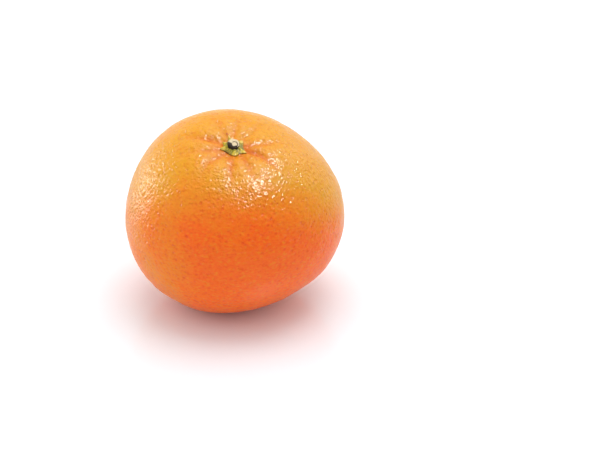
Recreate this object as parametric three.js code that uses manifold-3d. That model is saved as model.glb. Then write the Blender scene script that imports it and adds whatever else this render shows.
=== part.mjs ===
// A whole mandarin, resting on the small flat spot that its own weight presses into the peel.
// Three pieces: the fruit, the star-shaped calyx at its stem end, and the short cut stem stub.
//
// Units are millimetres, +Z is up and -Y is the front. The origin is the centre of the flat spot.
// The fruit's own frame has its centre at the equator and its stem end along +Z. The fruit rests
// with that stem end leaning towards the front.

import * as THREE from 'three';
import { mergeVertices } from 'three/addons/utils/BufferGeometryUtils.js';
import Module from 'manifold-3d';

const wasm = await Module();
wasm.setup();

// ---------------------------------------------------------------- driving dimensions (mm, degrees)

// Fruit
const equatorRadius = 32;
const stemHalfHeight = 30.8; // equator to stem end, before the dimple
const blossomHalfHeight = 26.7; // equator to blossom end, before the dimple
const profilePower = 1.93; // 2 is an ellipse, less is leaner at the shoulders
const stemDimpleDepth = 2.6;
const stemDimpleRadius = 9.3;
const blossomDimpleDepth = 0.9;
const blossomDimpleRadius = 4.5;
const frontLean = 20; // stem end towards the front
const sideLean = 0.8; // stem end towards the right
const restDepth = 0.8; // how far the lowest point is pressed flat

// Furrows that run out from the stem end, one between each pair of segments
const furrowCount = 10;
const firstFurrowAzimuth = -25;
const furrowDepth = 0.75; // of the deepest
const furrowWidth = 1.7;
const furrowDeepestRadius = 6.5;
const furrowEndRadius = 17;

// Broad swellings and hollows of the peel: where on the fruit, and how far they rise
const swellings = [
  { azimuth: -4, latitude: -3, rise: 1.9 },
  { azimuth: -58, latitude: -36, rise: -1.2 },
  { azimuth: 227, latitude: -32, rise: 1.1 },
  { azimuth: 176, latitude: 3, rise: -1.0 },
  { azimuth: 122, latitude: 36, rise: 0.4 },
  { azimuth: 47, latitude: 32, rise: -1.0 },
];
const swellingSharpness = 3.5; // 0 spreads over the whole fruit, more is narrower

// Stem stub
const stubRadius = 1.7;
const stubHeight = 1.6; // from its foot to the middle of its cut top
const stubCutSlope = 14; // of the cut top, highest at the back
const stubEdgeRound = 0.35;

// Calyx
const calyxCollarWidth = 0.8; // from the hole for the stub to the foot of the lobes
const calyxCollarHeight = 1.15; // at the stub
const calyxRimHeight = 0.5; // at the foot of the lobes
const calyxTipHeight = 0.35;
const lobes = [
  { azimuth: -29, reach: 1.6, spread: 18 },
  { azimuth: 42, reach: 0.95, spread: 23 },
  { azimuth: 107, reach: 1.75, spread: 12 },
  { azimuth: 147, reach: 0.9, spread: 15 },
  { azimuth: 193, reach: 1.2, spread: 17 },
  { azimuth: 280, reach: 0.9, spread: 24 },
];

// Fits
const seatGap = 0.3; // calyx and stub above the peel
const stubClearance = 0.3; // stub to calyx

// Facets
const fruitSegments = 70;
const fruitRings = 34;
const calyxSegments = 72;
const calyxSteps = 4;
const stubSegments = 24;

// ------------------------------------------------------------------------------- derived dimensions

const calyxHoleRadius = stubRadius + stubClearance;
const calyxDiscRadius = calyxHoleRadius + calyxCollarWidth;

// ------------------------------------------------------------------------------------------ helpers

const radians = THREE.MathUtils.degToRad;

/** Shortest turn between two angles, in radians, without a sign. */
function angleBetween(a, b) {
  return Math.abs(Math.atan2(Math.sin(a - b), Math.cos(a - b)));
}

/** Unit vector at an azimuth and a latitude given in degrees. */
function direction(azimuth, latitude) {
  const level = Math.cos(radians(latitude));
  return new THREE.Vector3(
    level * Math.cos(radians(azimuth)),
    level * Math.sin(radians(azimuth)),
    Math.sin(radians(latitude)),
  );
}

/**
 * Closed geometry of a lathed profile, with each point moved by place(radius, azimuth, height).
 * The profile starts and ends on the axis, or closes on itself.
 */
function placedLathe(profile, segments, place) {
  const geometry = new THREE.LatheGeometry(profile, segments);
  const position = geometry.getAttribute('position');
  for (let i = 0; i < position.count; i++) {
    const radius = Math.hypot(position.getX(i), position.getZ(i));
    const azimuth = Math.atan2(position.getX(i), position.getZ(i));
    const point = place(radius, azimuth, position.getY(i));
    position.setXYZ(i, point.x, point.y, point.z);
  }
  return closedGeometry(geometry);
}

/** The same surface with shared vertices and without triangles that have shrunk to a line. */
function closedGeometry(geometry) {
  geometry.deleteAttribute('normal');
  geometry.deleteAttribute('uv');
  const merged = mergeVertices(geometry);
  const index = merged.getIndex().array;
  const kept = [];
  for (let i = 0; i < index.length; i += 3) {
    const [a, b, c] = [index[i], index[i + 1], index[i + 2]];
    if (a !== b && b !== c && c !== a) kept.push(a, b, c);
  }
  merged.setIndex(kept);
  return merged;
}

/** A closed geometry as a manifold-3d solid. */
function toSolid(geometry) {
  const vertProperties = new Float32Array(geometry.getAttribute('position').array);
  const triVerts = new Uint32Array(geometry.getIndex().array);
  return new wasm.Manifold(new wasm.Mesh({ numProp: 3, vertProperties, triVerts }));
}

/** A manifold-3d solid as a geometry. */
function toGeometry(solid) {
  const mesh = solid.getMesh();
  const geometry = new THREE.BufferGeometry();
  geometry.setAttribute('position', new THREE.BufferAttribute(mesh.vertProperties, 3));
  geometry.setIndex(new THREE.BufferAttribute(mesh.triVerts, 1));
  return geometry;
}

/** A mesh with a name and a material of its own. */
function namedMesh(name, geometry, color, roughness) {
  const flatShaded = geometry.toNonIndexed();
  flatShaded.computeVertexNormals();
  const mesh = new THREE.Mesh(flatShaded, new THREE.MeshStandardMaterial({ color, roughness, metalness: 0 }));
  mesh.name = name;
  return mesh;
}

// --------------------------------------------------------------------------------- shape of the skin

/** How deep each furrow is against the deepest: a mix of two slow waves, so that no two are alike. */
function furrowShare(number) {
  return 0.68 + 0.2 * Math.cos(number * 2.5) + 0.12 * Math.cos(number * 1.3);
}

/** Depth of the furrows at a radius from the stem axis and an azimuth in radians. */
function furrowsAt(radius, azimuth) {
  const rise = radius / furrowDeepestRadius;
  const alongFurrow = rise * Math.exp(1 - rise) * Math.max(0, 1 - (radius / furrowEndRadius) ** 2);
  let depth = 0;
  for (let number = 0; number < furrowCount; number++) {
    const middle = radians(firstFurrowAzimuth + (number * 360) / furrowCount);
    const across = (angleBetween(azimuth, middle) * radius) / furrowWidth;
    depth += furrowDepth * furrowShare(number) * alongFurrow * Math.exp(-across * across);
  }
  return depth;
}

/** Depth of a rounded dimple at a radius from its middle. */
function dimpleAt(radius, depth, dimpleRadius) {
  return depth * Math.exp(-((radius / dimpleRadius) ** 2));
}

/** The point moved out or in by the broad swellings, along the line from the fruit's centre. */
function swollen(point) {
  const outward = point.clone().normalize();
  let rise = 0;
  for (const swelling of swellings) {
    const alignment = outward.dot(direction(swelling.azimuth, swelling.latitude));
    rise += swelling.rise * Math.exp(swellingSharpness * (alignment - 1));
  }
  return point.addScaledVector(outward, rise);
}

/** Skin point of the fruit's stem half, in its own frame, at a profile radius and an azimuth. */
function stemSkin(radius, azimuth) {
  const acrossShare = Math.min(radius / equatorRadius, 1) ** profilePower;
  const height = stemHalfHeight * (1 - acrossShare) ** (1 / profilePower);
  const sunk = dimpleAt(radius, stemDimpleDepth, stemDimpleRadius) + furrowsAt(radius, azimuth);
  return swollen(new THREE.Vector3(radius * Math.cos(azimuth), radius * Math.sin(azimuth), height - sunk));
}

/** Skin point of the fruit's blossom half, in its own frame, at a profile radius and an azimuth. */
function blossomSkin(radius, azimuth) {
  const acrossShare = Math.min(radius / equatorRadius, 1) ** profilePower;
  const height = -blossomHalfHeight * (1 - acrossShare) ** (1 / profilePower);
  const raised = dimpleAt(radius, blossomDimpleDepth, blossomDimpleRadius);
  return swollen(new THREE.Vector3(radius * Math.cos(azimuth), radius * Math.sin(azimuth), height + raised));
}

// --------------------------------------------------------------------------------------------- fruit

/** Profile from the blossom end to the stem end, with its rings closer together near the stem. */
function fruitProfile() {
  const profile = [];
  for (let ring = 0; ring <= fruitRings; ring++) {
    const share = ring / fruitRings;
    const latitude = 180 * (1 - (1 - share) ** 1.35) - 90;
    const atPole = ring === 0 || ring === fruitRings;
    const radius = atPole ? 0 : equatorRadius * Math.cos(radians(latitude)) ** (2 / profilePower);
    profile.push(new THREE.Vector2(radius, latitude));
  }
  return profile;
}

/** The whole fruit in its own frame, before it is pressed flat where it rests. */
function uncutFruit() {
  return placedLathe(fruitProfile(), fruitSegments, (radius, azimuth, latitude) =>
    latitude < 0 ? blossomSkin(radius, azimuth) : stemSkin(radius, azimuth),
  );
}

/** A block with its top at z = 0, wider than anything that stands on it. */
function blockBelow(size) {
  const box = new THREE.BoxGeometry(size, size, size);
  box.translate(0, 0, -size / 2);
  return toSolid(closedGeometry(box));
}

/** Centre of the flat face that a geometry rests on, weighed by area. */
function restCentre(geometry) {
  const position = geometry.getAttribute('position');
  const index = geometry.getIndex().array;
  const corners = [new THREE.Vector3(), new THREE.Vector3(), new THREE.Vector3()];
  const sum = new THREE.Vector3();
  let total = 0;
  for (let i = 0; i < index.length; i += 3) {
    corners.forEach((corner, k) => corner.fromBufferAttribute(position, index[i + k]));
    if (corners.some((corner) => corner.z > 1e-4)) continue;
    const area = new THREE.Triangle(...corners).getArea();
    corners.forEach((corner) => sum.addScaledVector(corner, area / 3));
    total += area;
  }
  return sum.divideScalar(total);
}

/** The leaning fruit with its flat spot, and the place of its own centre above that spot. */
function restingFruit() {
  const geometry = uncutFruit();
  geometry.rotateY(radians(sideLean));
  geometry.rotateX(radians(frontLean));
  geometry.computeBoundingBox();
  const lift = -geometry.boundingBox.min.z - restDepth;
  geometry.translate(0, 0, lift);
  const pressed = toGeometry(toSolid(geometry).subtract(blockBelow(4 * equatorRadius)));
  const spot = restCentre(pressed);
  pressed.translate(-spot.x, -spot.y, 0);
  return { geometry: pressed, centre: new THREE.Vector3(-spot.x, -spot.y, lift) };
}

// --------------------------------------------------------------------------------------------- calyx

/** Outline radius of the calyx at an azimuth in radians: a disc with pointed lobes. */
function calyxOutline(azimuth) {
  let reach = 0;
  for (const lobe of lobes) {
    const across = angleBetween(azimuth, radians(lobe.azimuth)) / radians(lobe.spread);
    reach = Math.max(reach, lobe.reach * Math.exp(-(across ** 1.6)));
  }
  return calyxDiscRadius + reach;
}

/** Thickness of the calyx at a share of the way from its hole to its outline. */
function calyxThickness(share) {
  const fall = (calyxCollarHeight - calyxRimHeight) * (1 - share) ** 2;
  return calyxTipHeight + (calyxRimHeight - calyxTipHeight) * (1 - share) + fall;
}

/** Closed profile of the calyx: out along its underside and back along its top. */
function calyxProfile() {
  const profile = [];
  for (let step = 0; step <= calyxSteps; step++) profile.push(new THREE.Vector2(1 + step, 0));
  for (let step = calyxSteps; step >= 0; step--) profile.push(new THREE.Vector2(1 + step, 1));
  profile.push(profile[0].clone());
  return profile;
}

/** The calyx, laid on the skin with the seat gap below it, in the fruit's own frame. */
function calyxGeometry() {
  return placedLathe(calyxProfile(), calyxSegments, (step, azimuth, side) => {
    const share = (step - 1) / calyxSteps;
    const radius = calyxHoleRadius + share * (calyxOutline(azimuth) - calyxHoleRadius);
    const point = stemSkin(radius, azimuth);
    point.z += seatGap + side * calyxThickness(share);
    return point;
  });
}

// ----------------------------------------------------------------------------------------- stem stub

/** Profile of the stub from the middle of its foot to the middle of its cut top. */
function stubProfile() {
  const shoulder = stubRadius - stubEdgeRound;
  const turns = [0, 30, 60, 90].map(radians);
  const edge = turns.map(
    (turn) =>
      new THREE.Vector2(
        shoulder + stubEdgeRound * Math.cos(turn),
        stubHeight - stubEdgeRound + stubEdgeRound * Math.sin(turn),
      ),
  );
  return [
    new THREE.Vector2(0, 0),
    new THREE.Vector2(shoulder, 0),
    new THREE.Vector2(stubRadius, stubEdgeRound),
    ...edge,
    new THREE.Vector2(0, stubHeight),
  ];
}

/** The stub, standing on the skin with the seat gap below it, in the fruit's own frame. */
function stubGeometry() {
  const foot = stemSkin(0, 0);
  return placedLathe(stubProfile(), stubSegments, (radius, azimuth, height) => {
    const y = radius * Math.sin(azimuth);
    const slopeShare = height / stubHeight;
    return new THREE.Vector3(
      foot.x + radius * Math.cos(azimuth),
      foot.y + y,
      foot.z + seatGap + stubFootRise() + height + slopeShare * y * Math.tan(radians(stubCutSlope)),
    );
  });
}

/** How far the dimple's floor rises from its middle to the edge of the stub's foot. */
function stubFootRise() {
  let rise = 0;
  for (let turn = 0; turn < 360; turn += 10) {
    rise = Math.max(rise, stemSkin(stubRadius, radians(turn)).z - stemSkin(0, 0).z);
  }
  return rise;
}

// ------------------------------------------------------------------------------------------ assembly

const fruit = restingFruit();

const stemEnd = new THREE.Group();
stemEnd.position.copy(fruit.centre);
stemEnd.rotation.set(radians(frontLean), radians(sideLean), 0);
stemEnd.add(namedMesh('calyx', calyxGeometry(), 0x8f9a3a, 0.7));
stemEnd.add(namedMesh('stem_stub', stubGeometry(), 0x6b5238, 0.85));

const group = new THREE.Group();
group.add(namedMesh('fruit', fruit.geometry, 0xf07a1c, 0.42));
group.add(stemEnd);

export default group;
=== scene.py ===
"""A whole mandarin at rest: its pitted peel, the lobed calyx in its stem dimple, and the cut stem stub.

Everything is in metres in the part's frame: the origin is the centre of the flat spot that the fruit
rests on, +Z is up and -Y is the front. Shapes are worked out in the fruit's own frame, which has its
centre at the equator and its stem end along +Z, and are then leaned and set down where the packed
fruit is.
"""

import logging
import math
from dataclasses import dataclass
from enum import Enum

import bpy
import numpy as np
from mathutils import Euler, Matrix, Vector


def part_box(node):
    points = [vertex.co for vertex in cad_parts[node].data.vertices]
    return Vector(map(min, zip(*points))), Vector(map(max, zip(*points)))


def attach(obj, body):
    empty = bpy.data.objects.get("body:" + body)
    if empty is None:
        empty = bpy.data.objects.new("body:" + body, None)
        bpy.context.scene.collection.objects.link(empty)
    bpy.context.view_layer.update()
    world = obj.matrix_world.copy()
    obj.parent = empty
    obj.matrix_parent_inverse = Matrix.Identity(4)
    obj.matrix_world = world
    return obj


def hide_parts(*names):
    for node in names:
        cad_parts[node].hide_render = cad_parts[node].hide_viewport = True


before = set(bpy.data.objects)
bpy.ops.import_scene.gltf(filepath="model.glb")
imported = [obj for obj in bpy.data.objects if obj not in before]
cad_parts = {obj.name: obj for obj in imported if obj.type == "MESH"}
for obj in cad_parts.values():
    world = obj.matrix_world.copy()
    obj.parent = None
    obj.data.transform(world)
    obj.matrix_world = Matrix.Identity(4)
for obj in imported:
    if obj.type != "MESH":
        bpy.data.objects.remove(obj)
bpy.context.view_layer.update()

MM = 0.001

log = logging.getLogger("mandarin")

Colour = tuple[float, float, float, float]
Span = tuple[float, float]
Array = np.ndarray
Material = bpy.types.Material
Piece = bpy.types.Object
Socket = bpy.types.NodeSocket


# ------------ noise on arrays


def cell_hash(cells: Array, seed: int) -> Array:
    """A number from 0 to 1 for each whole-number cell, the same on every run.

    Each coordinate is multiplied by a large odd number, the three are combined bit by bit with the
    seed, and the result is stirred by shifts and one more multiplication.

    Args:
        cells: whole numbers, with the three coordinates along the last axis.
        seed: picks one of many unrelated sets of numbers.

    Returns:
        One value per cell.
    """
    x, y, z = (cells[..., k].astype(np.int64).astype(np.uint32) for k in range(3))
    mixed = (x * np.uint32(73856093)) ^ (y * np.uint32(19349663)) ^ (z * np.uint32(83492791))
    mixed = mixed ^ np.uint32(seed * 2654435761 & 0xFFFFFFFF)
    mixed = (mixed ^ (mixed >> np.uint32(13))) * np.uint32(1274126177)
    mixed = (mixed ^ (mixed >> np.uint32(15))) * np.uint32(2246822519)
    return (mixed ^ (mixed >> np.uint32(16))).astype(np.float64) / 2**32


def smooth_noise(points: Array, size: float, seed: int) -> Array:
    """Rolling noise from -1 to 1: random values at the corners of cubes, eased from corner to corner.

    Args:
        points: positions, with the three coordinates along the last axis.
        size: edge of a cube, which is about half of one roll.
        seed: picks the noise.

    Returns:
        One value per point.
    """
    scaled = points / size
    cell = np.floor(scaled)
    share = scaled - cell
    ease = share * share * (3 - 2 * share)
    total = np.zeros(points.shape[:-1])
    for corner in np.ndindex(2, 2, 2):
        side = np.array(corner)
        weight = np.prod(np.where(side == 1, ease, 1 - ease), axis=-1)
        total += weight * cell_hash(cell + side, seed)
    return 2 * total - 1


def nearest_seed(points: Array, spacing: float, seed: int) -> Array:
    """Distance from each point to the nearest of many scattered seeds, one seed in each cube.

    Args:
        points: positions, with the three coordinates along the last axis.
        spacing: edge of a cube, which is about the distance between seeds.
        seed: picks where the seeds are.

    Returns:
        One distance per point, in the points' own unit.
    """
    scaled = points / spacing
    cell = np.floor(scaled)
    nearest = np.full(points.shape[:-1], np.inf)
    for step in np.ndindex(3, 3, 3):
        neighbour = cell + np.array(step) - 1
        middle = np.stack([cell_hash(neighbour, seed + k) for k in range(3)], axis=-1)
        gap = np.linalg.norm(neighbour + middle - scaled, axis=-1)
        nearest = np.minimum(nearest, gap)
    return nearest * spacing


def bell(distance: Array, width: float) -> Array:
    """A smooth hump that is 1 at no distance and falls to about a third at the width."""
    return np.exp(-((distance / width) ** 2))


def ease_between(value: Array, low: float, high: float) -> Array:
    """0 below low, 1 above high, and an S-shaped rise from one to the other."""
    share = np.clip((value - low) / (high - low), 0, 1)
    return share * share * (3 - 2 * share)


def direction(azimuth: float, rise: float) -> Array:
    """Unit vector by the cosines and sines of its turn from +X and its rise, both in degrees."""
    turn, tilt = math.radians(azimuth), math.radians(rise)
    return np.array([math.cos(tilt) * math.cos(turn), math.cos(tilt) * math.sin(turn), math.sin(tilt)])


def turn_between(azimuth: Array, middle: float) -> Array:
    """Signed turn from a direction in radians to each azimuth, from minus a half turn to a half turn."""
    return np.angle(np.exp(1j * (azimuth - middle)))


# ------------ shape of the skin


@dataclass(frozen=True)
class Patch:
    """A soft-edged area of the fruit: its middle in degrees, how much it adds and how narrow it is."""

    azimuth: float
    latitude: float
    rise: float
    sharpness: float = 3.5

    def added(self, outward: Array) -> Array:
        """What it adds along unit vectors: a hump of the cosine of the angle from its middle."""
        cosine = outward @ direction(self.azimuth, self.latitude)
        return self.rise * np.exp(self.sharpness * (cosine - 1))


@dataclass(frozen=True)
class FruitShape:
    """The fruit's smooth form in its own frame, and how it leans."""

    equator_radius: float = 32 * MM
    stem_half_height: float = 30.8 * MM
    blossom_half_height: float = 26.7 * MM
    profile_power: float = 1.93
    stem_dimple_depth: float = 2.6 * MM
    stem_dimple_radius: float = 9.3 * MM
    blossom_dimple_depth: float = 0.9 * MM
    blossom_dimple_radius: float = 4.5 * MM
    front_lean: float = 20.0
    side_lean: float = 0.8
    furrow_count: int = 10
    first_furrow: float = -25.0
    furrow_depth: float = 0.75 * MM
    furrow_width: float = 1.7 * MM
    furrow_deepest: float = 6.5 * MM
    furrow_end: float = 17 * MM
    furrow_share_mean: float = 0.68
    furrow_share_waves: tuple[tuple[float, float], ...] = ((0.2, 2.5), (0.12, 1.3))
    furrow_sway: float = 7.0
    sway_wave: float = 3 * MM
    sway_step: float = 2.1
    crease_depth: float = 0.25 * MM
    crease_width: float = 0.7 * MM
    swellings: tuple[Patch, ...] = (
        Patch(-4, -3, 1.9 * MM),
        Patch(-58, -36, -1.2 * MM),
        Patch(227, -32, 1.1 * MM),
        Patch(176, 3, -1.0 * MM),
        Patch(122, 36, 0.4 * MM),
        Patch(47, 32, -1.0 * MM),
    )

    def furrow_share(self, radius: Array, azimuth: Array, width: float) -> Array:
        """How much of a furrow's full depth there is, where furrows run out from the stem end.

        Along a furrow the share rises to its deepest radius and dies away at its end. Across it the
        share is a bell. Each furrow sways from side to side as it runs out, by a sine of its radius.
        No two are as deep: a furrow's own share is a mean plus two cosines of its number.

        Args:
            radius: distances from the stem axis.
            azimuth: directions round it, in radians.
            width: how wide the furrows are.

        Returns:
            Shares of the full depth.
        """
        rise = radius / self.furrow_deepest
        along = rise * np.exp(1 - rise) * np.clip(1 - (radius / self.furrow_end) ** 2, 0, 1)
        total = np.zeros(np.broadcast(radius, azimuth).shape)
        for number in range(self.furrow_count):
            waves = sum(size * math.cos(number * turn) for size, turn in self.furrow_share_waves)
            start = math.radians(self.first_furrow + 360 * number / self.furrow_count)
            sway = math.radians(self.furrow_sway) * np.sin(radius / self.sway_wave + self.sway_step * number)
            across = np.abs(turn_between(azimuth - sway * rise / (1 + rise), start)) * radius
            total += (self.furrow_share_mean + waves) * along * bell(across, width)
        return total

    def furrows(self, radius: Array, azimuth: Array) -> Array:
        """Depth of the furrows: a wide one and a narrow crease along its middle."""
        wide = self.furrow_depth * self.furrow_share(radius, azimuth, self.furrow_width)
        return wide + self.crease_depth * self.furrow_share(radius, azimuth, self.crease_width)

    def skin(self, radius: Array, azimuth: Array, upper: Array) -> Array:
        """Points of the smooth skin: a full oval of revolution, dimpled, furrowed and swollen.

        The height over the equator is the half height times (1 - share^power)^(1/power), where the
        share is the radius over the equator's. The dimples are bells of the radius. The swellings
        move a point along its line from the centre by a rise that fades with the angle between them.

        Args:
            radius: distances from the stem axis.
            azimuth: directions round it, in radians.
            upper: 1 on the stem half and -1 on the blossom half.

        Returns:
            Points in the fruit's own frame.
        """
        share = np.clip(radius / self.equator_radius, 0, 1) ** self.profile_power
        lift = (1 - share) ** (1 / self.profile_power)
        stem = self.stem_half_height * lift - self.stem_dimple_depth * bell(radius, self.stem_dimple_radius)
        stem = stem - self.furrows(radius, azimuth)
        blossom = -self.blossom_half_height * lift
        blossom = blossom + self.blossom_dimple_depth * bell(radius, self.blossom_dimple_radius)
        height = np.where(upper > 0, stem, blossom)
        points = np.stack([radius * np.cos(azimuth), radius * np.sin(azimuth), height], axis=-1)
        return self.swollen(points)

    def swollen(self, points: Array) -> Array:
        """Moves points out or in by the swellings, along their lines from the centre.

        Args:
            points: positions in the fruit's own frame.

        Returns:
            The new positions.
        """
        outward = points / np.linalg.norm(points, axis=-1, keepdims=True)
        rise = sum(swelling.added(outward) for swelling in self.swellings)
        return points + outward * rise[..., None]

    def stem_skin(self, radius: Array, azimuth: Array) -> Array:
        """Skin points of the stem half, where the calyx and the stub sit."""
        radius, azimuth = np.broadcast_arrays(radius, azimuth)
        return self.skin(radius, azimuth, np.ones(radius.shape))

    def outward(self, points: Array) -> Array:
        """Unit normals of the plain oval through the points, near enough for fine relief.

        Args:
            points: positions in the fruit's own frame.

        Returns:
            The positions over the squares of the oval's half widths, one long.
        """
        half = np.where(points[..., 2] > 0, self.stem_half_height, self.blossom_half_height)
        wide = np.full(half.shape, self.equator_radius)
        normal = points / np.stack([wide, wide, half], axis=-1) ** 2
        return normal / np.linalg.norm(normal, axis=-1, keepdims=True)

    def leaned(self, points: Array) -> Array:
        """Turns points about the fruit's centre as it leans: first sideways, then to the front.

        Args:
            points: positions in the fruit's own frame.

        Returns:
            The turned positions.
        """
        sine, cosine = math.sin(math.radians(self.side_lean)), math.cos(math.radians(self.side_lean))
        sideways = np.array([[cosine, 0, sine], [0, 1, 0], [-sine, 0, cosine]])
        sine, cosine = math.sin(math.radians(self.front_lean)), math.cos(math.radians(self.front_lean))
        forwards = np.array([[1, 0, 0], [0, cosine, -sine], [0, sine, cosine]])
        return points @ (forwards @ sideways).T


@dataclass(frozen=True)
class Seat:
    """Where the fruit's own centre is above its resting spot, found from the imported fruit's box."""

    shape: FruitShape
    centre: Array

    @classmethod
    def from_frame(cls, shape: FruitShape) -> "Seat":
        """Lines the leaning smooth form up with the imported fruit.

        The two share their top, and the middle of their width and of their depth.

        Args:
            shape: the fruit's form.

        Returns:
            The seat of the fruit and of what stands on it.
        """
        latitudes, azimuths = np.linspace(-90, 90, 181), np.arange(0, 360, 2)
        latitude, azimuth = np.meshgrid(np.radians(latitudes), np.radians(azimuths))
        radius = shape.equator_radius * np.cos(latitude) ** (2 / shape.profile_power)
        points = shape.leaned(shape.skin(radius, azimuth, np.sign(latitude))).reshape(-1, 3)
        low, high = (np.array(corner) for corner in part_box("fruit"))
        middle = (low + high - points.min(axis=0) - points.max(axis=0)) / 2
        return cls(shape, np.array([middle[0], middle[1], high[2] - points[:, 2].max()]))

    def place(self, points: Array) -> Array:
        """Points of the fruit's own frame, in the part's frame."""
        return self.shape.leaned(points) + self.centre


# ------------ mesh making


def quads_between(rows: Array) -> Array:
    """Quads from each row of point numbers to the next, closed round the rows."""
    beside = np.roll(rows, -1, axis=1)
    return np.stack([rows[:-1], beside[:-1], beside[1:], rows[1:]], axis=-1).reshape(-1, 4)


def closed_grid_mesh(name: str, rings: Array, first: Array, last: Array) -> Piece:
    """A closed surface from rings of points, with a single point at each end.

    The points of a ring run anticlockwise seen from the last end.

    Args:
        name: the object's name.
        rings: positions, ring by ring and point by point.
        first: the point below the first ring.
        last: the point above the last ring.

    Returns:
        The object, in the scene.
    """
    count, around = rings.shape[:2]
    index = np.arange(count * around).reshape(count, around)
    low, high = np.full(around, count * around), np.full(around, count * around + 1)
    bottom = np.stack([low, np.roll(index[0], -1), index[0]], axis=-1)
    top = np.stack([high, index[-1], np.roll(index[-1], -1)], axis=-1)
    points = np.concatenate([rings.reshape(-1, 3), first[None], last[None]])
    return mesh_object(name, points, quads_between(index).tolist() + bottom.tolist() + top.tolist())


def ring_mesh(name: str, loops: Array) -> Piece:
    """A closed surface like a ring: loops of points that meet again, each loop round the hole.

    Args:
        name: the object's name.
        loops: positions, loop by loop and point by point.

    Returns:
        The object, in the scene.
    """
    count, around = loops.shape[:2]
    index = np.arange(count * around).reshape(count, around)
    quads = quads_between(np.concatenate([index, index[:1]]))
    return mesh_object(name, loops.reshape(-1, 3), quads.tolist())


def mesh_object(name: str, points: Array, faces: list[list[int]]) -> Piece:
    """Makes an object with smooth faces, linked to the scene, with its place in its mesh.

    Args:
        name: the object's and the mesh's name.
        points: positions, one row each.
        faces: for each face, the numbers of its points.

    Returns:
        The object.
    """
    mesh = bpy.data.meshes.new(name)
    mesh.from_pydata(points, [], faces)
    mesh.polygons.foreach_set("use_smooth", np.ones(len(mesh.polygons), dtype=bool))
    mesh.update()
    piece = bpy.data.objects.new(name, mesh)
    bpy.context.scene.collection.objects.link(piece)
    return piece


def store(piece: Piece, name: str, values: Array) -> None:
    """Keeps one number for each point of a piece's mesh, for its finish to read."""
    attribute = piece.data.attributes.new(name, "FLOAT", "POINT")
    attribute.data.foreach_set("value", np.ascontiguousarray(values.ravel(), dtype=np.float32))


# ------------ finishes


class Blend(Enum):
    """How a second colour or number is laid over a first."""

    MIX = "MIX"
    ADD = "ADD"
    MULTIPLY = "MULTIPLY"


class Sheet:
    """One material's nodes, with short calls for the few kinds that the finishes use."""

    def __init__(self, name: str) -> None:
        """Starts a material that has a principled shader and an output.

        Args:
            name: the material's name.
        """
        self.material = bpy.data.materials.new(name)
        self.material.use_nodes = True
        self.tree = self.material.node_tree
        self.tree.nodes.clear()
        self.shader = self.node("ShaderNodeBsdfPrincipled", {})
        self.node("ShaderNodeOutputMaterial", {"Surface": self.shader.outputs["BSDF"]})

    def feed(self, node: bpy.types.Node, inputs: dict[str | int, object]) -> None:
        """Gives a node's inputs constants, or links them to outputs.

        Args:
            node: the node.
            inputs: constants and outputs, by the name or the place of the input.
        """
        for key, value in inputs.items():
            if isinstance(value, Socket):
                self.tree.links.new(value, node.inputs[key])
            else:
                node.inputs[key].default_value = value

    def node(self, kind: str, inputs: dict[str | int, object], **settings: object) -> bpy.types.Node:
        """Adds a node.

        Args:
            kind: its type.
            inputs: constants and outputs for its inputs.
            settings: values for its properties.

        Returns:
            The node.
        """
        made = self.tree.nodes.new(kind)
        for key, value in settings.items():
            setattr(made, key, value)
        self.feed(made, inputs)
        return made

    def millimetres(self, flatten: float = 1.0) -> Socket:
        """Object coordinates in millimetres, the heights multiplied so that patterns come out flatter."""
        where = self.node("ShaderNodeTexCoord", {}).outputs["Object"]
        inputs = {"Vector": where, "Scale": (1 / MM, 1 / MM, flatten / MM)}
        return self.node("ShaderNodeMapping", inputs).outputs["Vector"]

    def stored(self, name: str) -> Socket:
        """A number that the piece's mesh keeps for each point."""
        return self.node("ShaderNodeAttribute", {}, attribute_name=name).outputs["Fac"]

    def noise(self, where: Socket, size: float, detail: float) -> Socket:
        """Noise whose clouds are about size millimetres across, with as many finer ones as the detail."""
        inputs = {"Vector": where, "Scale": 1 / size, "Detail": detail}
        return self.node("ShaderNodeTexNoise", inputs).outputs["Fac"]

    def cells(self, where: Socket, spacing: float) -> Socket:
        """Distance to the nearest of many scattered points, as a share of their spacing."""
        inputs = {"Vector": where, "Scale": 1 / spacing}
        return self.node("ShaderNodeTexVoronoi", inputs, feature="F1").outputs["Distance"]

    def ramp(self, value: Socket, edges: Span, low: float = 0.0, high: float = 1.0) -> Socket:
        """A value's range between two edges, eased onto the range from low to high."""
        inputs = {"Value": value, "From Min": edges[0], "From Max": edges[1], "To Min": low, "To Max": high}
        return self.node("ShaderNodeMapRange", inputs, interpolation_type="SMOOTHSTEP").outputs["Result"]

    def maths(self, how: Blend, first: object, second: object) -> Socket:
        """The sum or the product of two numbers."""
        return self.node("ShaderNodeMath", {0: first, 1: second}, operation=how.value).outputs[0]

    def blend(self, share: object, first: object, second: object, how: Blend = Blend.MIX) -> Socket:
        """A second colour laid over a first, by a share from 0 to 1."""
        inputs = {0: share, 6: first, 7: second}
        return self.node("ShaderNodeMix", inputs, data_type="RGBA", blend_type=how.value).outputs[2]

    def bump(self, height: object, distance: float, below: Socket | None = None) -> Socket:
        """A normal turned by a height, in metres for a height of 1, over another normal if there is one."""
        inputs = {"Height": height, "Distance": distance} | ({} if below is None else {"Normal": below})
        return self.node("ShaderNodeBump", inputs).outputs["Normal"]

    def set(self, **values: object) -> None:
        """Sets or links the shader's inputs by their names, with _ for a space."""
        self.feed(self.shader, {key.replace("_", " "): value for key, value in values.items()})


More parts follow.
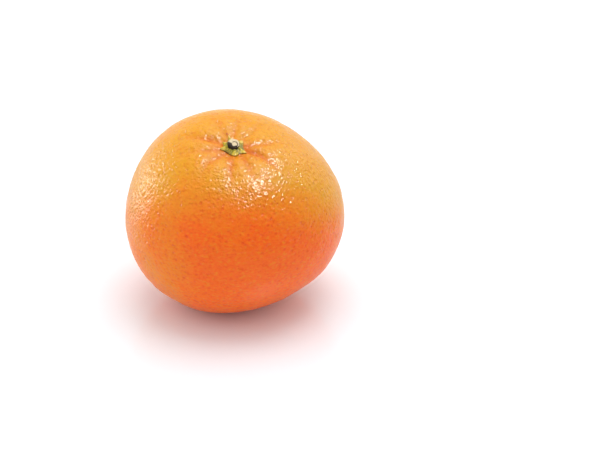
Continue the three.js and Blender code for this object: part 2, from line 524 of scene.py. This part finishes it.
@dataclass(frozen=True)
class PeelFinish:
    """Waxy citrus peel, dotted with oil glands: yellow-orange towards its top and back and redder at its
    front, which is painted light and shade for the brighter light on the top and back.

    Here and in the other finishes, sizes and spacings are in millimetres and depths in metres.
    """

    # The first two colours are painted light and shade: the peel's orange as it looks in the brighter light
    # on its top and back, and in the dimmer light at its front.
    lit_side_colour: Colour = (0.755, 0.315, 0.004, 1)
    shaded_side_colour: Colour = (0.955, 0.137, 0.002, 1)
    # Painted shade in the furrows, a deeper orange.
    furrow_shade_colour: Colour = (0.70, 0.155, 0.001, 1)
    fleck_colour: Colour = (0.80, 0.37, 0.008, 1)
    gland_tint: Colour = (0.92, 0.62, 0.5, 1)
    scar_colour: Colour = (0.42, 0.025, 0.004, 1)
    cloud_size: float = 11.0
    cloud_edges: Span = (0.3, 0.7)
    cloud_swing: float = 0.12
    gland_spacing: float = 1.35
    gland_pit_edges: Span = (0.08, 0.42)
    gland_depth: float = 0.11 * MM
    dot_edges: Span = (0.12, 0.48)
    dot_patch_size: float = 5.0
    dot_patch_edges: Span = (0.35, 0.65)
    dot_patch_strengths: Span = (0.2, 0.75)
    lit_skin_edges: Span = (0.3, 1.0)
    lit_skin_dots: float = 0.3
    mottle_size: float = 1.0
    mottle_flatness: float = 1.8
    dark_fleck_edges: Span = (0.28, 0.46)
    dark_fleck_strength: float = 0.65
    pale_fleck_edges: Span = (0.5, 0.72)
    pale_fleck_strength: float = 0.3
    pucker_size: float = 0.95
    pucker_depth: float = 0.38 * MM
    grain_size: float = 0.4
    grain_depth: float = 0.012 * MM

    def colour(self, sheet: Sheet, where: Socket, gland: Socket) -> Socket:
        """Mixes the colours by where a point is.

        The colour goes from the shaded side's to the lit side's by the stored painted light and a cloudy
        noise, which is painted light and shade with some tone that differs at random, then to a deeper
        orange in the furrows, which is painted shade. Near a gland it is darker, most of all on the redder
        skin and more in some patches than in others. A finer, flattened noise adds dark and pale flecks.

        Args:
            sheet: the material's nodes.
            where: coordinates in millimetres.
            gland: distance to the nearest gland, as a share of their spacing.

        Returns:
            The colour.
        """
        cloud = sheet.noise(where, self.cloud_size, detail=3.0)
        cloud = sheet.ramp(cloud, self.cloud_edges, -self.cloud_swing, self.cloud_swing)
        # Painted light and shade from the stored marks, with a cloudy noise of tone that differs at random
        # over it.
        painted_light = sheet.maths(Blend.ADD, sheet.stored("painted_light"), cloud)
        colour = sheet.blend(painted_light, self.shaded_side_colour, self.lit_side_colour)
        # Painted shade: the furrows are darkened towards a deeper orange.
        colour = sheet.blend(sheet.stored("groove"), colour, self.furrow_shade_colour)
        patchy = sheet.noise(where, self.dot_patch_size, detail=2.0)
        patchy = sheet.ramp(patchy, self.dot_patch_edges, *self.dot_patch_strengths)
        dot = sheet.maths(Blend.MULTIPLY, sheet.ramp(gland, self.dot_edges, 1.0, 0.0), patchy)
        fade = sheet.ramp(painted_light, self.lit_skin_edges, 1.0, self.lit_skin_dots)
        dot = sheet.maths(Blend.MULTIPLY, dot, fade)
        colour = sheet.blend(dot, colour, self.gland_tint, Blend.MULTIPLY)
        mottle = sheet.noise(sheet.millimetres(self.mottle_flatness), self.mottle_size, detail=3.0)
        dark = sheet.ramp(mottle, self.dark_fleck_edges, self.dark_fleck_strength, 0.0)
        colour = sheet.blend(dark, colour, self.gland_tint, Blend.MULTIPLY)
        pale = sheet.ramp(mottle, self.pale_fleck_edges, 0.0, self.pale_fleck_strength)
        colour = sheet.blend(pale, colour, self.fleck_colour)
        return sheet.blend(sheet.stored("scar"), colour, self.scar_colour)

    def material(self) -> Material:
        """Waxes the coloured skin, puckers it by noise and sinks a pit at each gland.

        Glands are points scattered through space, so those near the skin show on it at uneven sizes.
        The pits lie over the puckers, and a fine grain over both.

        Returns:
            The material.
        """
        sheet = Sheet("waxy_peel")
        where = sheet.millimetres()
        gland = sheet.cells(where, self.gland_spacing)
        colour = self.colour(sheet, where, gland)
        puckers = sheet.bump(sheet.noise(where, self.pucker_size, detail=1.2), self.pucker_depth)
        pits = sheet.bump(sheet.ramp(gland, self.gland_pit_edges), self.gland_depth, puckers)
        normal = sheet.bump(sheet.noise(where, self.grain_size, detail=2.0), self.grain_depth, pits)
        sheet.set(Base_Color=colour, Normal=normal, Coat_Normal=normal)
        sheet.set(Roughness=0.5, Specular_IOR_Level=0.05)
        sheet.set(Coat_Weight=0.45, Coat_Roughness=0.065, Coat_IOR=1.5)
        sheet.set(Subsurface_Weight=0.25, Subsurface_Radius=(1.0, 0.35, 0.12), Subsurface_Scale=2.0 * MM)
        return sheet.material


@dataclass(frozen=True)
class CalyxFinish:
    """Drying calyx: olive green round the stem, yellow along the lobes, pale tips, and brown in the gaps and
    along the edge that is partly its own dried brown and partly painted shade; the underside is brown all
    over, painted shade.
    """

    green: Colour = (0.27, 0.25, 0.012, 1)
    yellow: Colour = (0.68, 0.50, 0.03, 1)
    tip: Colour = (0.90, 0.64, 0.16, 1)
    brown: Colour = (0.17, 0.055, 0.004, 1)
    yellow_edges: Span = (0.05, 0.5)
    tip_edges: Span = (0.6, 1.0)
    blotch_size: float = 0.6
    blotch_edges: Span = (0.32, 0.68)
    blotch_swing: float = 0.38
    wrinkle_size: float = 0.5
    wrinkle_depth: float = 0.16 * MM

    def material(self) -> Material:
        """Colours the calyx by its stored reach and shade.

        It goes from green to yellow to the tip's colour by the reach and a blotchy noise, then to
        brown by the shade. Another noise wrinkles it.

        Returns:
            The material.
        """
        sheet = Sheet("dry_calyx")
        where = sheet.millimetres()
        blotch = sheet.noise(where, self.blotch_size, detail=3.0)
        blotch = sheet.ramp(blotch, self.blotch_edges, -self.blotch_swing, self.blotch_swing)
        reach = sheet.maths(Blend.ADD, sheet.stored("reach"), blotch)
        colour = sheet.blend(sheet.ramp(reach, self.yellow_edges), self.green, self.yellow)
        colour = sheet.blend(sheet.ramp(reach, self.tip_edges), colour, self.tip)
        # Brown by the shade: partly the dried edge's own brown and partly painted shade.
        colour = sheet.blend(sheet.stored("shade"), colour, self.brown)
        normal = sheet.bump(sheet.noise(where, self.wrinkle_size, detail=3.0), self.wrinkle_depth)
        sheet.set(Base_Color=colour, Normal=normal, Roughness=0.42, Specular_IOR_Level=0.3)
        sheet.set(Subsurface_Weight=0.1, Subsurface_Radius=(0.6, 0.6, 0.2), Subsurface_Scale=0.5 * MM)
        return sheet.material


@dataclass(frozen=True)
class StubFinish:
    """Cut stem: dark brown bark, and a cut face that is cream at its back and in the pith and dark at its
    front, the dark front being painted shade of the face's near side.
    """

    dark: Colour = (0.018, 0.008, 0.003, 1)
    cream: Colour = (0.80, 0.64, 0.40, 1)
    fibre_colour: Colour = (0.16, 0.09, 0.035, 1)
    fibre_size: float = 0.3
    fibre_edges: Span = (0.45, 0.75)
    fibre_strength: float = 0.4
    fibre_depth: float = 0.08 * MM

    def material(self) -> Material:
        """Dark where the stored cream is 0 and cream where it is 1, streaked by fine noise.

        Returns:
            The material.
        """
        sheet = Sheet("cut_stem")
        fibre = sheet.noise(sheet.millimetres(), self.fibre_size, detail=4.0)
        colour = sheet.blend(sheet.stored("cream"), self.dark, self.cream)
        streak = sheet.ramp(fibre, self.fibre_edges, 0.0, self.fibre_strength)
        colour = sheet.blend(streak, colour, self.fibre_colour)
        sheet.set(Base_Color=colour, Normal=sheet.bump(fibre, self.fibre_depth))
        sheet.set(Roughness=0.6, Specular_IOR_Level=0.15)
        return sheet.material


@dataclass(frozen=True)
class FloorFinish:
    """Smooth white table top."""

    colour: Colour = (0.90, 0.935, 0.97, 1)

    def material(self) -> Material:
        """A plain white with a soft gloss.

        Returns:
            The material.
        """
        sheet = Sheet("white_table")
        sheet.set(Base_Color=self.colour, Roughness=0.16, Specular_IOR_Level=0.5)
        return sheet.material


# ------------ the pieces


@dataclass(frozen=True)
class Peel:
    """The fruit's outside: a closed skin with furrows, rolling relief and pits."""

    seat: Seat
    around: int = 432
    rings: int = 218
    crowding: float = 1.3
    rolls: tuple[Span, ...] = ((9 * MM, 0.14 * MM), (4.5 * MM, 0.1 * MM), (2.2 * MM, 0.07 * MM))
    pit_spacing: float = 1.9 * MM
    pit_width: float = 0.62 * MM
    pit_depth: float = 0.05 * MM
    pit_seed: int = 11
    crease_depth: float = 0.16 * MM
    crease_size: float = 0.16
    crease_length: float = 9 * MM
    crease_middle: float = 7 * MM
    crease_spread: float = 5 * MM
    crease_seed: int = 23
    # Painted light: the peel is made yellower towards this side, for the brighter light on its top and back.
    # The patches add painted light, the first a painted sheen by the highlights, and the last painted shade
    # low at the front.
    lit_side: tuple[float, float] = (84, 38)
    lit_side_edges: Span = (-0.34, 0.37)
    patches: tuple[Patch, ...] = (
        Patch(10, 55, 0.3, 12),
        Patch(232, 5, 0.25, 8),
        Patch(198, 8, 0.4, 8),
        Patch(-75, -10, -0.25, 8),
    )
    # Painted shade in the furrows, darkened by their depth and less so behind the stem.
    furrow_shade: float = 0.85
    crease_shade: float = 0.5
    back_edges: Span = (0.1, 0.8)
    back_fade: float = 0.6
    scar_radius: float = 5.6 * MM
    scar_azimuth: float = 109.0
    scar_size: float = 0.42 * MM
    scar_squeeze: float = 1.6

    def relief(self, points: Array, radius: Array, azimuth: Array) -> Array:
        """Height of the fine relief above the smooth skin.

        It is a sum of rolling noises, each finer and lower than the last, less a bell-shaped pit at
        each scattered seed, plus short creases that run out from the calyx on the stem half. The
        creases are a noise that changes fast with the azimuth and slowly with the radius.

        Args:
            points: smooth skin points in the fruit's own frame.
            radius: their distances from the stem axis.
            azimuth: their directions round it, in radians.

        Returns:
            Heights in metres.
        """
        height = np.zeros(points.shape[:-1])
        for seed, (size, rise) in enumerate(self.rolls):
            height += rise * smooth_noise(points, size, seed)
        from_pit = nearest_seed(points, self.pit_spacing, self.pit_seed)
        height -= self.pit_depth * bell(from_pit, self.pit_width)
        fan = np.stack([np.cos(azimuth), np.sin(azimuth), radius / self.crease_length], axis=-1)
        crease = smooth_noise(fan, self.crease_size, self.crease_seed)
        crease = crease * bell(radius - self.crease_middle, self.crease_spread)
        return height + self.crease_depth * crease * (points[..., 2] > 0)

    def build(self) -> Piece:
        """Builds the skin on a grid of latitude and azimuth, its rings closer near the stem end.

        The radius is the equator's times a power of the latitude's cosine. Relief moves each point
        along the normal, and nothing goes below the resting spot.

        Returns:
            The skin.
        """
        shape = self.seat.shape
        share = np.arange(1, self.rings) / self.rings
        latitude = np.radians(180 * (1 - (1 - share) ** self.crowding) - 90)
        turn = np.radians(np.arange(self.around) * 360 / self.around)
        latitude, azimuth = np.meshgrid(latitude, turn, indexing="ij")
        radius = shape.equator_radius * np.cos(latitude) ** (2 / shape.profile_power)
        smooth = shape.skin(radius, azimuth, np.sign(latitude))
        points = smooth + shape.outward(smooth) * self.relief(smooth, radius, azimuth)[..., None]
        poles = shape.skin(np.zeros(2), np.zeros(2), np.array([-1.0, 1.0]))
        placed, ends = self.seat.place(points), self.seat.place(poles)
        placed[..., 2] = np.maximum(placed[..., 2], 0)
        piece = closed_grid_mesh("peel", placed, ends[0], ends[1])
        self.store_marks(piece, smooth, radius, azimuth)
        return piece

    def store_marks(self, piece: Piece, smooth: Array, radius: Array, azimuth: Array) -> None:
        """Keeps the painted light, the painted furrow shade and the scar for the finish, the poles last.

        The painted light, for the brighter light on the top and back, rises with the cosine of the angle
        from the lit side, and the patches add painted light and shade to it.
        The furrows get painted shade by their depth, less so behind the stem. The scar is a bell.

        Args:
            piece: the skin.
            smooth: its points before relief, in the fruit's own frame.
            radius: their distances from the stem axis.
            azimuth: their directions round it, in radians.
        """
        shape = self.seat.shape
        upper = smooth[..., 2] > 0
        outward = smooth / np.linalg.norm(smooth, axis=-1, keepdims=True)
        # Painted light, yellower towards the lit side, with the patches' painted light and shade added.
        painted_light = ease_between(outward @ direction(*self.lit_side), *self.lit_side_edges)
        for patch in self.patches:
            painted_light += patch.added(outward)
        # Painted shade in the furrows, by their depth, weaker behind the stem.
        wide = shape.furrow_share(radius, azimuth, shape.furrow_width)
        narrow = shape.furrow_share(radius, azimuth, shape.crease_width)
        behind = ease_between(np.sin(azimuth), *self.back_edges)
        painted_shade = np.clip(self.furrow_shade * wide + self.crease_shade * narrow, 0, 1)
        groove = painted_shade * upper * (1 - self.back_fade * behind)
        across = turn_between(azimuth, math.radians(self.scar_azimuth)) * radius
        scar = bell(np.hypot(radius - self.scar_radius, across * self.scar_squeeze), self.scar_size) * upper
        for name, values in (("painted_light", painted_light), ("groove", groove), ("scar", scar)):
            store(piece, name, np.concatenate([values.ravel(), [values[0].mean(), values[-1].mean()]]))

    def dress(self, piece: Piece) -> None:
        """Gives the skin its finish and its place in the part.

        Args:
            piece: the skin.
        """
        piece.data.materials.append(PeelFinish().material())
        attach(piece, "root")
        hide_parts("fruit")


@dataclass(frozen=True)
class Lobe:
    """One lobe of the calyx: its direction and half spread in degrees, its reach and its tip's lift."""

    azimuth: float
    reach: float
    spread: float
    lift: float


@dataclass(frozen=True)
class Calyx:
    """The star of six uneven lobes that stays on the fruit, with a thick collar round the stub."""

    seat: Seat
    inner_radius: float = 1.5 * MM
    disc_radius: float = 2.75 * MM
    collar_height: float = 0.95 * MM
    edge_thickness: float = 0.2 * MM
    lobe_thickness: float = 0.42 * MM
    lobe_rounding: float = 1.5
    collar_width: float = 1.0 * MM
    clearance: float = 0.05 * MM
    spike: float = 1.5
    bluntness: float = 0.05
    wobbles: tuple[tuple[float, float, int], ...] = ((0.1 * MM, 0.7 * MM, 41), (0.05 * MM, 0.3 * MM, 43))
    # How brown the gaps and the edge are: partly the dried edge's own brown and partly painted shade.
    gap_shade: float = 0.7
    edge_shade: float = 0.7
    edge_start: float = 0.94
    around: int = 320
    steps: int = 26
    crowding: float = 1.4
    lobes: tuple[Lobe, ...] = (
        Lobe(-29, 1.6 * MM, 17, 0.1 * MM),
        Lobe(42, 0.95 * MM, 22, 0.3 * MM),
        Lobe(107, 1.9 * MM, 10, 0.3 * MM),
        Lobe(147, 0.9 * MM, 13, 0.35 * MM),
        Lobe(193, 1.15 * MM, 15, 0.15 * MM),
        Lobe(279, 0.85 * MM, 24, 0.05 * MM),
    )

    def lobe_shares(self, azimuth: Array) -> Array:
        """How much of each lobe there is: 1 along its middle, less to both sides like a blunted spike.

        Args:
            azimuth: directions round the stub, in radians.

        Returns:
            One array per lobe: the exponential of the turn from its middle, rounded at the middle.
        """
        middles = np.radians([lobe.azimuth for lobe in self.lobes]).reshape(-1, 1, 1)
        spreads = np.radians([lobe.spread for lobe in self.lobes]).reshape(-1, 1, 1)
        across = turn_between(azimuth[None], middles) / spreads
        return np.exp(-self.spike * (np.sqrt(across**2 + self.bluntness) - math.sqrt(self.bluntness)))

    def surface(self, share: Array, azimuth: Array, side: float) -> Array:
        """Points of the calyx's top or underside, laid on the skin.

        The outline is a disc plus the furthest reach of any lobe. The top is a collar that falls
        away from the stub and fleshy lobes, thick along their middles, with a rounded edge. The tips
        lift by the cube of the share.

        Args:
            share: 0 at the stub and 1 at the outline.
            azimuth: directions round the stub, in radians.
            side: 1 for the top and 0 for the underside.

        Returns:
            Points in the fruit's own frame.
        """
        shares = self.lobe_shares(azimuth)
        reaches = np.array([lobe.reach for lobe in self.lobes]).reshape(-1, 1, 1)
        lifts = np.array([lobe.lift for lobe in self.lobes]).reshape(-1, 1, 1)
        outline = self.disc_radius + (reaches * shares).max(axis=0)
        radius = self.inner_radius + share * (outline - self.inner_radius)
        points = self.seat.shape.stem_skin(radius, azimuth)
        collar = self.collar_height * bell(radius - self.inner_radius, self.collar_width)
        rounded = np.sqrt(np.clip(1 - share**4, 0, 1))
        flesh = self.edge_thickness + self.lobe_thickness * shares.max(axis=0) ** self.lobe_rounding
        wobble = sum(height * smooth_noise(points, size, seed) for height, size, seed in self.wobbles)
        lift = (lifts * shares**2).sum(axis=0) * share**3
        points[..., 2] += self.clearance + lift + side * (collar + (flesh + wobble) * rounded)
        return points

    def build(self) -> Piece:
        """Builds a closed ring: out along the underside from the stub, and back along the top.

        Returns:
            The calyx.
        """
        turn = np.radians(np.arange(self.around) * 360 / self.around)
        share = 1 - (1 - np.arange(self.steps) / (self.steps - 1)) ** self.crowding
        shares, azimuth = np.meshgrid(share, turn, indexing="ij")
        under, top = self.surface(shares, azimuth, 0.0), self.surface(shares, azimuth, 1.0)
        piece = ring_mesh("calyx_star", self.seat.place(np.concatenate([under, top[::-1]])))
        lobes = self.lobe_shares(azimuth).max(axis=0)
        store(piece, "reach", np.concatenate([shares * lobes, (shares * lobes)[::-1]]))
        # The underside is brown all over, painted shade under the calyx.
        store(piece, "shade", np.concatenate([np.ones(shares.shape), self.shade(shares, lobes)[::-1]]))
        return piece

    def shade(self, share: Array, lobes: Array) -> Array:
        """How brown the top is: in the gaps between lobes, and in a thin line at the very edge, partly the
        dried edge's own brown and partly painted shade.
        """
        edge = self.edge_shade * ease_between(share, self.edge_start, 1.0)
        return np.clip(self.gap_shade * (1 - lobes) ** 2 * share + edge, 0, 1)

    def dress(self, piece: Piece) -> None:
        """Gives the calyx its finish and its place in the part.

        Args:
            piece: the calyx.
        """
        piece.data.materials.append(CalyxFinish().material())
        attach(piece, "root")
        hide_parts("calyx")


@dataclass(frozen=True)
class StemStub:
    """The short cut end of the stem: a fluted bark wall, and a sloping cut face with a pith and a groove.

    Places and widths on the face, but for rises and depths, are shares of its radius.
    """

    seat: Seat
    foot_radius: float = 1.76 * MM
    top_radius: float = 1.66 * MM
    height: float = 1.5 * MM
    sunk: float = 0.1 * MM
    taper: float = 0.7
    flute_depth: float = 0.06
    flute_size: float = 0.9
    flute_turns: float = 3.0
    flute_drift: float = 0.8
    flute_seed: int = 61
    slope: float = 0.14
    side_slope: float = 0.25
    rim_drop: float = 0.22 * MM
    rim_start: float = 0.78
    pith: tuple[float, float] = (0.17, -0.2)
    pith_rise: float = 0.16 * MM
    pith_width: float = 0.36
    pith_edges: Span = (0.34, 0.48)
    groove_depth: float = 0.2 * MM
    groove_circle: float = 0.52
    groove_width: float = 0.09
    groove_slant: float = 0.3
    groove_edges: Span = (-0.35, 0.1)
    # Painted light and shade: the back of the cut face is cream and its front dark.
    lit_face_slant: float = 0.65
    lit_face_edges: Span = (-0.35, 0.0)
    cream_edges: Span = (0.8, 0.97)
    around: int = 128
    wall_steps: int = 14
    face_steps: int = 24

    def build(self) -> Piece:
        """Builds rings up the wall and in across the cut face.

        The wall tapers from the foot to the top, roughened by noise that hardly changes up the wall.

        Returns:
            The stub.
        """
        turn = np.radians(np.arange(self.around) * 360 / self.around)
        rise = np.concatenate([np.linspace(0, 1, self.wall_steps), np.ones(self.face_steps)])
        inward = np.concatenate([np.ones(self.wall_steps), 1 - np.linspace(0, 1, self.face_steps + 2)[1:-1]])
        rise, azimuth = np.meshgrid(rise, turn, indexing="ij")
        inward = np.broadcast_to(inward[:, None], rise.shape)
        across, back = inward * np.cos(azimuth), inward * np.sin(azimuth)
        flutes = [across * self.flute_turns, back * self.flute_turns, rise * self.flute_drift]
        noise = smooth_noise(np.stack(flutes, axis=-1), self.flute_size, self.flute_seed)
        rough = 1 + self.flute_depth * noise
        radius = (self.foot_radius + (self.top_radius - self.foot_radius) * rise**self.taper) * rough
        height = (self.height + self.face_height(across, back)) * rise
        foot = self.seat.shape.stem_skin(np.array(0.0), np.array(0.0))
        rings = foot + np.stack([radius * across, radius * back, height - self.sunk], axis=-1)
        base = foot + np.array([0, 0, -self.sunk])
        crown = foot + np.array([0, 0, self.height + float(self.face_height(0.0, 0.0)) - self.sunk])
        rings, base, crown = (self.seat.place(points) for points in (rings, base, crown))
        piece = closed_grid_mesh("cut_stub", rings, base, crown)
        cream = self.cream(across, back) * ease_between(rise, *self.cream_edges)
        store(piece, "cream", np.concatenate([cream.ravel(), [0, float(self.cream(0.0, 0.0))]]))
        return piece

    def from_pith(self, across: Array, back: Array) -> Array:
        """Distance from the middle of the pith, as a share of the face's radius."""
        return np.hypot(across - self.pith[0], back - self.pith[1])

    def face_height(self, across: Array, back: Array) -> Array:
        """Height of the cut face over its middle level.

        The face slopes up to the back, with a rounded rim. The pith is a bell, and the groove round
        it a bell of the distance from a circle.

        Args:
            across: place on the face towards +X, as a share of its radius.
            back: place on the face towards +Y, as a share of its radius.

        Returns:
            Heights in metres.
        """
        distance = self.from_pith(across, back)
        slope = self.slope * self.top_radius * (self.side_slope * across + back)
        rim = -self.rim_drop * ease_between(np.hypot(across, back), self.rim_start, 1.0)
        pith = self.pith_rise * bell(distance, self.pith_width)
        return slope + rim + pith - self.groove_depth * self.groove(across, back)

    def groove(self, across: Array, back: Array) -> Array:
        """How deep the groove round the pith is: a bell that fades away to the left."""
        ring = bell(self.from_pith(across, back) - self.groove_circle, self.groove_width)
        return ring * ease_between(across + self.groove_slant * back, *self.groove_edges)

    def cream(self, across: Array, back: Array) -> Array:
        """Finds where the face is cream: the pith, and the back of the face but for the groove. The dark
        front of the face is painted shade.

        Args:
            across: place on the face towards +X.
            back: place on the face towards +Y.

        Returns:
            1 on cream wood and 0 on dark.
        """
        pith = 1 - ease_between(self.from_pith(across, back), *self.pith_edges)
        # Painted shade: the front of the face stays dark and its back is cream.
        lit_face = ease_between(back + self.lit_face_slant * across, *self.lit_face_edges)
        return np.clip(pith + lit_face - self.groove(across, back), 0, 1)

    def dress(self, piece: Piece) -> None:
        """Gives the stub its finish and its place in the part.

        Args:
            piece: the stub.
        """
        piece.data.materials.append(StubFinish().material())
        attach(piece, "root")
        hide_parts("stem_stub")


# ------------ the studio


@dataclass(frozen=True)
class SoftBox:
    """A flat soft light that faces the fruit, one metre away: its direction and half width in degrees.

    The brightness is its radiance. A light for highlights only adds nothing to matt surfaces.
    """

    name: str
    azimuth: float
    elevation: float
    half_width: float
    half_height: float
    brightness: float
    highlights_only: bool = False

    def build(self, target: Vector) -> None:
        """Adds the light, turned to its target.

        Args:
            target: the point that it faces.
        """
        data = bpy.data.lights.new(self.name, "AREA")
        data.shape = "RECTANGLE"
        data.size = 2 * math.tan(math.radians(self.half_width))
        data.size_y = 2 * math.tan(math.radians(self.half_height))
        data.energy = self.brightness * math.pi * data.size * data.size_y
        away = Vector(direction(self.azimuth, self.elevation))
        light = bpy.data.objects.new(self.name, data)
        light.location = target + away
        light.rotation_euler = (-away).to_track_quat("-Z", "Y").to_euler()
        light.visible_camera = False
        light.visible_diffuse = not self.highlights_only
        bpy.context.scene.collection.objects.link(light)


@dataclass(frozen=True)
class Studio:
    """The pale floor, the soft lights, the bright surroundings and the camera."""

    floor_size: float = 8.0
    floor_drop: float = 0.02 * MM
    walls: float = 0.99
    dim_walls: float = 0.53
    dim_azimuth: float = -62.0
    dim_slope: float = -0.35
    dim_edges: Span = (0.0, 0.9)
    camera_elevation: float = 27.8
    camera_distance: float = 0.5
    lens: float = 101.8
    aim_right: float = 2.51
    aim_down: float = 0.44
    lights: tuple[SoftBox, ...] = (
        SoftBox("top_softbox", 65, 75, 24, 24, 2.05),
        SoftBox("glint_softbox", -26, 66, 13, 8, 46.0, highlights_only=True),
        SoftBox("left_softbox", 155, 13, 11, 9, 2.0),
        SoftBox("left_glint_softbox", 146, 7, 8, 8, 11.0, highlights_only=True),
        SoftBox("right_softbox", 38, 30, 15, 12, 2.6, highlights_only=True),
    )

    def build(self) -> None:
        """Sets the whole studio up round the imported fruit."""
        low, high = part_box("fruit")
        middle = Vector((0, 0, (low.z + high.z) / 2))
        self.build_floor()
        self.build_surroundings()
        for light in self.lights:
            light.build(middle)
        self.build_camera(middle)

    def build_floor(self) -> None:
        """Adds the floor just under the resting spot."""
        half = self.floor_size / 2
        corners = np.array([[-half, -half], [half, -half], [half, half], [-half, half]])
        points = np.column_stack([corners, np.full(4, -self.floor_drop)])
        floor = mesh_object("table_top", points, [[0, 1, 2, 3]])
        floor.data.materials.append(FloorFinish().material())

    def build_surroundings(self) -> None:
        """Surrounds the scene with pale walls that are dimmer low down at the front and the right."""
        world = bpy.data.worlds.new("studio")
        world.use_nodes = True
        nodes, links = world.node_tree.nodes, world.node_tree.links
        background = nodes["Background"]
        background.inputs["Color"].default_value = (1, 1, 1, 1)
        coordinates, towards = nodes.new("ShaderNodeTexCoord"), nodes.new("ShaderNodeVectorMath")
        towards.operation = "DOT_PRODUCT"
        dim = math.radians(self.dim_azimuth)
        towards.inputs[1].default_value = (math.cos(dim), math.sin(dim), self.dim_slope)
        fade = nodes.new("ShaderNodeMapRange")
        fade.interpolation_type = "SMOOTHSTEP"
        fade.inputs["From Min"].default_value, fade.inputs["From Max"].default_value = self.dim_edges
        fade.inputs["To Min"].default_value = self.walls
        fade.inputs["To Max"].default_value = self.dim_walls
        links.new(coordinates.outputs["Generated"], towards.inputs[0])
        links.new(towards.outputs["Value"], fade.inputs["Value"])
        links.new(fade.outputs["Result"], background.inputs["Strength"])
        bpy.context.scene.world = world
        bpy.context.scene.view_settings.view_transform = "Standard"

    def build_camera(self, middle: Vector) -> None:
        """Adds the camera, which looks a little to the right of the fruit and a little below it.

        Args:
            middle: the middle of the fruit.
        """
        elevation = math.radians(self.camera_elevation)
        away = Vector((0, -math.cos(elevation), math.sin(elevation)))
        straight = (-away).to_track_quat("-Z", "Y")
        aside = Euler((-math.radians(self.aim_down), -math.radians(self.aim_right), 0)).to_quaternion()
        data = bpy.data.cameras.new("camera")
        data.lens = self.lens
        data.clip_start = 0.01
        camera = bpy.data.objects.new("camera", data)
        camera.location = middle + away * self.camera_distance
        camera.rotation_euler = (straight @ aside).to_euler()
        bpy.context.scene.collection.objects.link(camera)
        bpy.context.scene.camera = camera


def main() -> None:
    """Builds the studio and the three pieces in order, and reports each one."""
    logging.basicConfig(level=logging.INFO, format="%(name)s: %(message)s")
    Studio().build()
    seat = Seat.from_frame(FruitShape())
    log.info("fruit centre at %s mm", np.round(seat.centre / MM, 2))
    for maker in (Peel(seat), Calyx(seat), StemStub(seat)):
        piece = maker.build()
        maker.dress(piece)
        log.info("%s: %d points, %d faces", piece.name, len(piece.data.vertices), len(piece.data.polygons))


if __name__ == "__main__":
    main()
